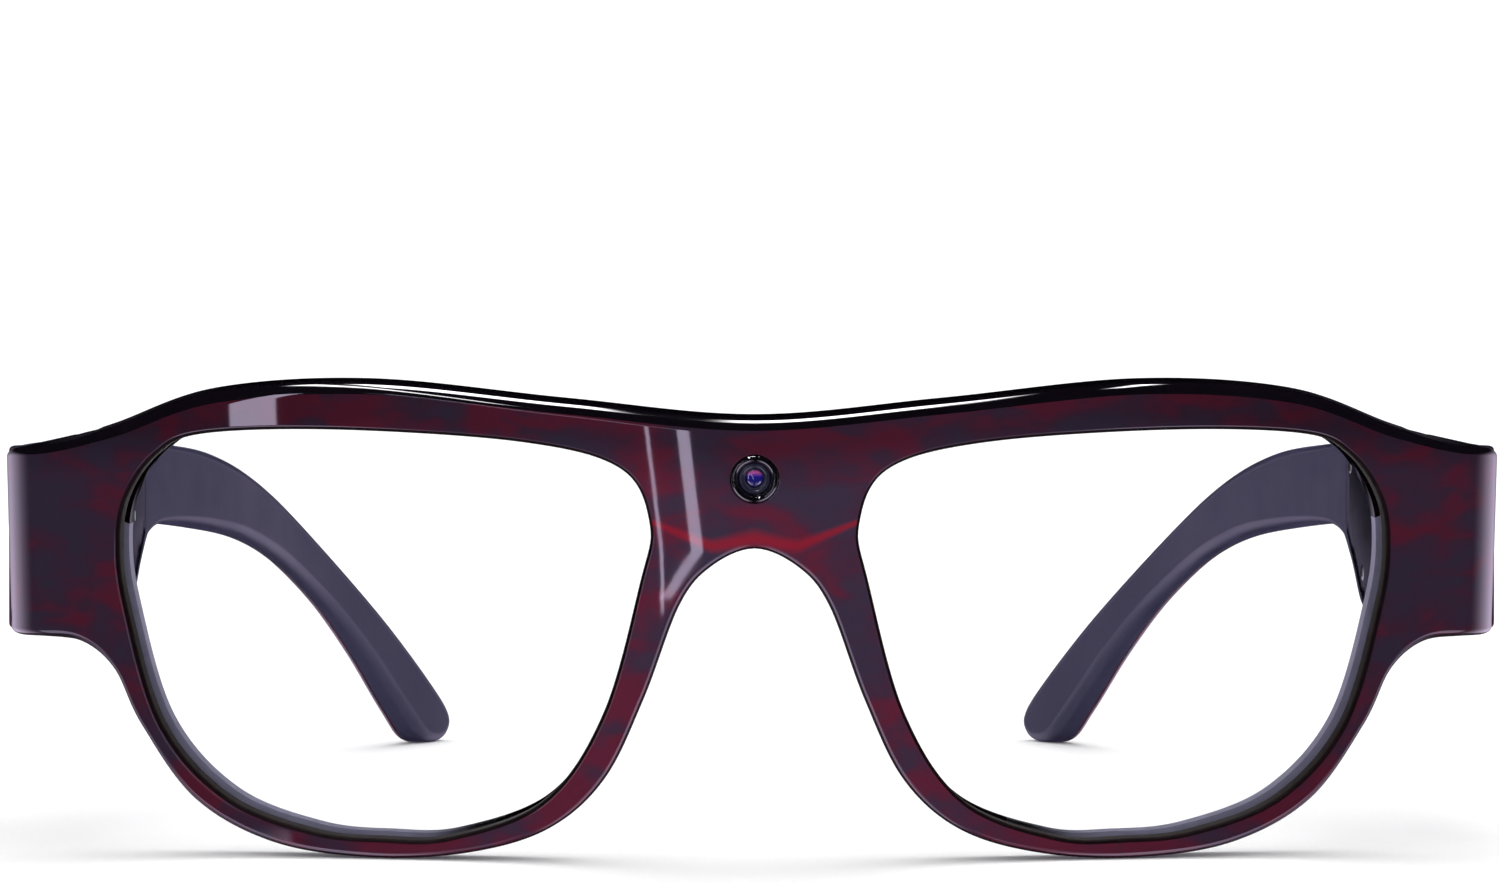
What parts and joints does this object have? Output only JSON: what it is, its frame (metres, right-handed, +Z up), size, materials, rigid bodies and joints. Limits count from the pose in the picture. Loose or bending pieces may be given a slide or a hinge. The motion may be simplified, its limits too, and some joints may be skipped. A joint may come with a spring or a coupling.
{
  "type": "smart glasses",
  "caption": "Camera eyeglasses: marbled plastic front with clear lenses, a bridge camera, and two folding temples that hold the electronics and battery.",
  "frame": {"origin": "centre of the bounding box in X and Y, at the level the lower rims and temple tips rest on", "axes": "+X towards the wearer's left temple, +Y from the lenses back along the open temples, +Z up; the front faces -Y"},
  "size_m": [0.1514, 0.1518, 0.047],
  "materials": {
    "frame": "polished dark plum and burgundy marbled plastic",
    "frame_back": "polished black plastic",
    "lens": "clear, polished",
    "camera_black": "glossy black",
    "camera_glass": "coated glass with a violet and blue sheen",
    "temple": "polished outside, satin inside",
    "temple_inside": "satin blue-grey plastic",
    "hinge_steel": "brushed steel",
    "screw_steel": "bright steel",
    "board": "green solder mask",
    "chip_black": "moulded black epoxy",
    "socket_steel": "tinned steel",
    "led": "milky light guide",
    "flex": "polyimide film",
    "button": "satin black plastic",
    "battery_foil": "aluminium laminate pouch",
    "lead_red": "insulated wire"
  },
  "bodies": {
    "front": {"front_frame": "frame", "brow_cover": "frame_back", "lens_right": "lens", "lens_left": "lens", "camera_bezel": "camera_black", "camera_barrel": "camera_black", "camera_lens": "camera_glass", "camera_sensor": "chip_black", "camera_board": "board", "brow_flex": "flex", "hinge_front_right": "hinge_steel", "hinge_front_left": "hinge_steel", "hinge_pins": "screw_steel", "hinge_front_screws": "screw_steel"},
    "right_temple": {"temple_shell_right": "temple", "temple_cover_right": "temple_inside", "cover_screws_right": "screw_steel", "hinge_temple_right": "hinge_steel", "leaf_screws_right": "screw_steel", "main_board": "board", "processor_chip": "chip_black", "memory_chip": "chip_black", "usb_socket": "socket_steel", "tact_switches": "socket_steel", "microphone": "socket_steel", "status_led": "led", "temple_flex_right": "flex"},
    "left_temple": {"temple_shell_left": "temple", "temple_cover_left": "temple_inside", "cover_screws_left": "screw_steel", "hinge_temple_left": "hinge_steel", "leaf_screws_left": "screw_steel", "battery": "battery_foil", "battery_board": "board", "battery_leads": "lead_red", "temple_flex_left": "flex"},
    "record_button": {"record_button": "button"},
    "power_button": {"power_button": "button"}
  },
  "joints": [
    {"name": "left_temple_fold", "type": "hinge", "parent": "front", "child": "left_temple", "pos_m": [0.0656, -0.05695, 0.031], "axis": [0, 0, 1], "range_deg": [0, 78]},
    {"name": "right_temple_fold", "type": "hinge", "parent": "front", "child": "right_temple", "pos_m": [-0.0656, -0.05695, 0.031], "axis": [0, 0, -1], "range_deg": [0, 60]},
    {"name": "record_press", "type": "slide", "parent": "right_temple", "child": "record_button", "axis": [0, 0, 1], "range_m": [0, 0.0004], "stiffness_N_per_m": 500, "springref_m": -0.0002},
    {"name": "power_press", "type": "slide", "parent": "right_temple", "child": "power_button", "axis": [0, 0, 1], "range_m": [0, 0.0004], "stiffness_N_per_m": 500, "springref_m": -0.0002}
  ]
}
